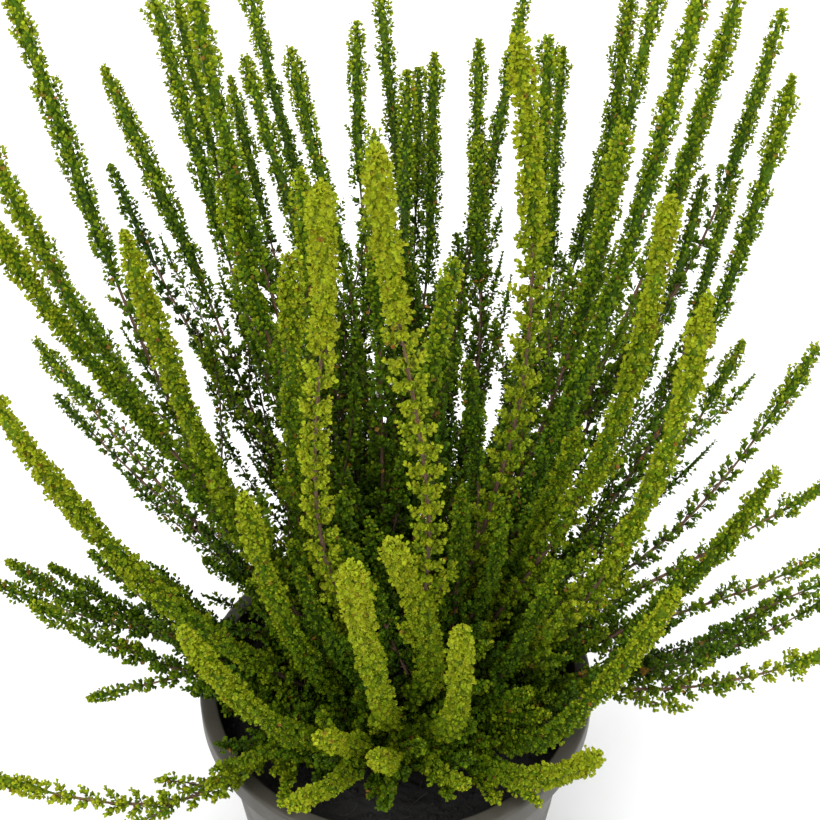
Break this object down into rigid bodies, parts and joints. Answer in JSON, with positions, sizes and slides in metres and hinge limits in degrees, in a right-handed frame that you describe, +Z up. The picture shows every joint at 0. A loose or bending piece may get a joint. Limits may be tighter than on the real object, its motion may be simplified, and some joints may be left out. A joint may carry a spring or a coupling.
{
  "type": "potted heather",
  "caption": "Bushy green heather with upright, tightly leaved shoots fanning out of a round tapered nursery pot filled with dark soil.",
  "frame": {"origin": "centre of the pot's flat base", "axes": "+Z up along the pot's axis, -Y towards the front that the picture shows, +X to the picture's right"},
  "size_m": [0.3054, 0.3211, 0.3809],
  "materials": {
    "pot": "satin grey-brown plastic",
    "soil": "moist, crumbly and nearly black",
    "foliage": "matt small green leaves, yellow-green at the tips, on brown woody stems"
  },
  "bodies": {
    "root": {"pot": "pot", "soil": "soil", "leafy_stem_01": "foliage", "leafy_stem_02": "foliage", "leafy_stem_03": "foliage", "leafy_stem_04": "foliage", "leafy_stem_05": "foliage", "leafy_stem_06": "foliage", "leafy_stem_07": "foliage", "leafy_stem_08": "foliage", "leafy_stem_09": "foliage", "leafy_stem_10": "foliage", "leafy_stem_11": "foliage", "leafy_stem_12": "foliage", "leafy_stem_13": "foliage", "leafy_stem_14": "foliage", "leafy_stem_15": "foliage", "leafy_stem_16": "foliage", "leafy_stem_17": "foliage", "leafy_stem_18": "foliage", "leafy_stem_19": "foliage", "leafy_stem_20": "foliage", "leafy_stem_21": "foliage", "leafy_stem_22": "foliage", "leafy_stem_23": "foliage", "leafy_stem_24": "foliage", "leafy_stem_25": "foliage", "leafy_stem_26": "foliage", "leafy_stem_27": "foliage", "leafy_stem_28": "foliage", "leafy_stem_29": "foliage", "leafy_stem_30": "foliage", "leafy_stem_31": "foliage", "leafy_stem_32": "foliage", "leafy_stem_33": "foliage", "leafy_stem_34": "foliage", "leafy_stem_35": "foliage", "leafy_stem_36": "foliage", "leafy_stem_37": "foliage", "leafy_stem_38": "foliage", "leafy_stem_39": "foliage", "leafy_stem_40": "foliage", "leafy_stem_41": "foliage", "leafy_stem_42": "foliage", "leafy_stem_43": "foliage", "leafy_stem_44": "foliage", "leafy_stem_45": "foliage", "leafy_stem_46": "foliage", "leafy_stem_47": "foliage", "leafy_stem_48": "foliage", "leafy_stem_49": "foliage", "leafy_stem_50": "foliage", "leafy_stem_51": "foliage", "leafy_stem_52": "foliage", "leafy_stem_53": "foliage", "leafy_stem_54": "foliage", "leafy_stem_55": "foliage", "leafy_stem_56": "foliage"}
  },
  "joints": []
}
